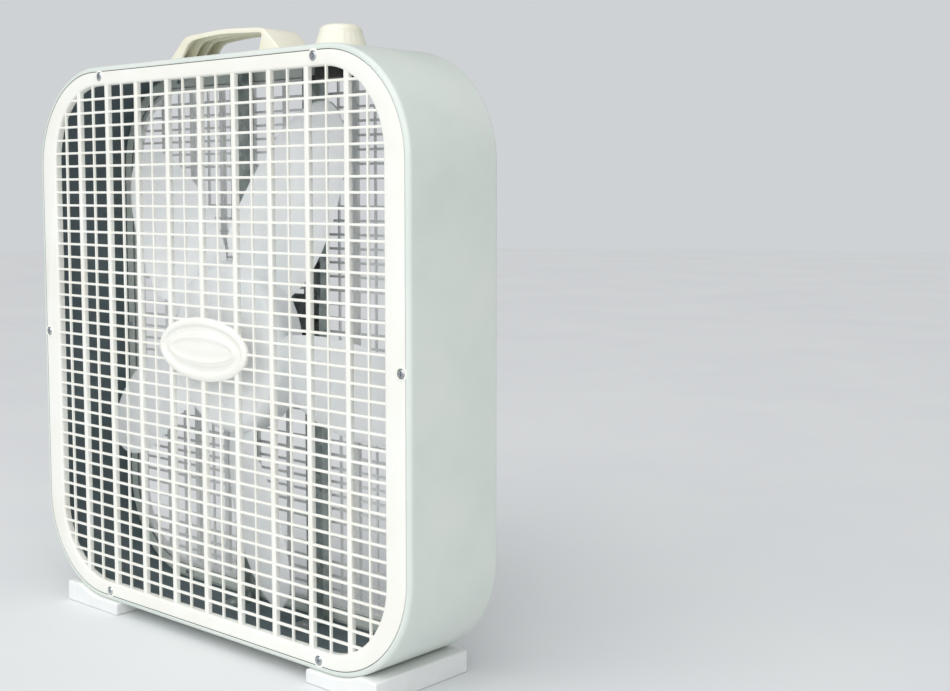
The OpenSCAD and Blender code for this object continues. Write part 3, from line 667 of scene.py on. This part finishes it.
def knob_shell(steps=144, flutes=24):
    """Tapered knob with a rolled foot, faint upright flutes and a soft top edge; the pointer groove is carved
    afterwards.
    """
    base_r = (KNOB_HIGH.x - KNOB_LOW.x) / 2 / MM
    height = (KNOB_HIGH.z - KNOB_LOW.z) / MM
    top_r, soft = base_r - 3.8, 7.0
    section = [(base_r - 2.2, 0, 0), (base_r - 0.5, 0, 0), (base_r, 0.4, 0), (base_r, 1.6, 0),
               (base_r - 0.4, 2.4, 0)]
    section += [(base_r - 0.6 + (top_r - base_r + 0.6) * k / 6, 3.2 + (height - soft - 3.2) * k / 6,
                 1 if 0 < k < 6 else 0.3) for k in range(7)]
    section += [(top_r - soft + soft * math.cos(math.radians(a)),
                 height - soft + soft * math.sin(math.radians(a)), 0) for a in range(15, 91, 15)]
    section += [(top_r - soft - 3, height, 0), (6, height - 0.25, 0), (0.5, height - 0.3, 0)]
    loops = []
    for radius, up, cut in section:
        loop = []
        for k in range(steps):
            angle = 2 * math.pi * k / steps
            r = (radius - FLUTE_DEPTH * cut * (0.5 + 0.5 * math.cos(flutes * angle)) ** 3) * MM
            loop.append(Vector((KNOB_X + r * math.cos(angle), KNOB_Y + r * math.sin(angle),
                                KNOB_LOW.z + up * MM)))
        loops.append(loop)
    return loft(loops, caps=True)


knob = make_piece("control_knob_moulding", *knob_shell(), IVORY, "knob", "ivory_plastic", ["control_knob"])
groove = loft([[Vector((KNOB_X + x * MM, KNOB_Y - y * MM, KNOB_HIGH.z + z * MM)) for x, y in
                ((-0.9, 5), (0.9, 5), (0.9, 14.5), (-0.9, 14.5))] for z in (-0.9, 1.0)], caps=True)
carve(knob, [groove])


# ---------------------------------------------------------------- feet

FOOT_WRAP = 20


def foot_block(name):
    """Foot whose top follows the band's corner, with soft edges all round."""
    low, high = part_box(name)
    side = 1 if high.x > 0 else -1
    inner, outer = min(abs(low.x), abs(high.x)) / MM, max(abs(low.x), abs(high.x)) / MM
    centre = FACE / 2 - CORNER_R
    top = []
    for k in range(13):
        x = inner + (outer - inner) * k / 12
        over = max(x - centre, 0)
        top.append((x, -centre - math.sqrt(CORNER_R ** 2 - over ** 2) + 0.15))
    bottom = (low.z - MID_Z) / MM
    profile = [(inner, bottom), (outer, bottom)]
    profile += [(x, min(up, bottom + FOOT_WRAP)) for x, up in reversed(top)]
    loops = [[at(side * x, (y - FRONT_Y) / MM, up) for x, up in profile] for y in (low.y, high.y)]
    piece = make_piece(f"{name}_moulding", *loft(loops, caps=True), FOOT_WHITE, "fan_body", "foot_plastic",
                       [name])
    soften = piece.modifiers.new("soften", "BEVEL")
    soften.width, soften.segments, soften.limit_method = 1.6 * MM, 3, "ANGLE"
    soften.angle_limit = math.radians(SHARP_DEG)


foot_block("foot_left")
foot_block("foot_right")


# ---------------------------------------------------------------- floor, light and camera

def plain_floor(tree, place):
    """Pale, even floor."""
    grain = noise(tree, place, 400, 2.0)
    return ramp(tree, grain, [(0.3, "#E4E6E8"), (0.7, "#E8EAEB")]), grain, grain, 0.0


PALE_FLOOR = surface("pale_studio_floor", plain_floor, (0.7, 0.8))
floor_mesh = bpy.data.meshes.new("studio_floor")
FLOOR_R = 9.0
FLOOR_SIDES = 64
floor_turns = [2 * math.pi * k / FLOOR_SIDES for k in range(FLOOR_SIDES)]
floor_points = [(FLOOR_R * math.cos(turn), FLOOR_R * math.sin(turn), 0) for turn in floor_turns]
floor_mesh.from_pydata(floor_points, [], [tuple(range(FLOOR_SIDES))])
floor_mesh.materials.append(PALE_FLOOR)
floor = bpy.data.objects.new("studio_floor", floor_mesh)
bpy.context.scene.collection.objects.link(floor)

world = bpy.data.worlds.new("studio_air")
world.use_nodes = True
bpy.context.scene.world = world
air = world.node_tree
air.nodes.clear()
seen = add_node(air, "ShaderNodeBackground", {"Color": linear("#CFD2D5"), "Strength": 1.0})
glow = add_node(air, "ShaderNodeBackground", {"Color": linear("#F0F2F4"), "Strength": 0.42})
straight = add_node(air, "ShaderNodeLightPath").outputs["Is Camera Ray"]
mixed = add_node(air, "ShaderNodeMixShader", links={0: straight, 1: glow.outputs[0], 2: seen.outputs[0]})
add_node(air, "ShaderNodeOutputWorld", links={"Surface": mixed.outputs[0]})


def softbox(name, place, aim, size, power, colour="#FFFFFF"):
    """A soft rectangular lamp aimed at a point."""
    lamp = bpy.data.lights.new(name, "AREA")
    lamp.shape, lamp.size, lamp.size_y = "RECTANGLE", size[0], size[1]
    lamp.energy, lamp.color = power, linear(colour)[:3]
    holder = bpy.data.objects.new(name, lamp)
    holder.location = place
    holder.rotation_euler = (Vector(aim) - Vector(place)).to_track_quat("-Z", "Y").to_euler()
    bpy.context.scene.collection.objects.link(holder)


CENTRE = (0, 0, MID_Z)
softbox("front_key", (-0.3, -2.1, 1.1), CENTRE, (1.6, 1.2), 8)
softbox("camera_side_fill", (1.9, -1.7, 1.2), CENTRE, (1.4, 1.4), 13, "#F6F8F6")
sky = bpy.data.lights.new("overhead_silk", "SUN")
sky.energy, sky.angle = 1.55, math.radians(70)
silk = bpy.data.objects.new("overhead_silk", sky)
silk.rotation_euler = Euler((math.radians(28), math.radians(8), 0))
bpy.context.scene.collection.objects.link(silk)

SENSOR_MM = 36
LENS_MM = 51.9082
FRAME_SHIFT = -0.0426316
CAMERA_AT = (1004.1, -759.9, 142.1)
LOOK_DOWN_DEG = 4.70
LOOK_LEFT_DEG = 41.53
lens = bpy.data.cameras.new("camera")
lens.sensor_width = SENSOR_MM
lens.lens = LENS_MM
lens.shift_y = FRAME_SHIFT
lens.clip_start = 0.01
camera = bpy.data.objects.new("camera", lens)
camera.location = at(*CAMERA_AT)
camera.rotation_euler = Euler((math.radians(90 - LOOK_DOWN_DEG), 0, math.radians(LOOK_LEFT_DEG)))
bpy.context.scene.collection.objects.link(camera)
bpy.context.scene.camera = camera
bpy.context.scene.view_settings.view_transform = "Standard"
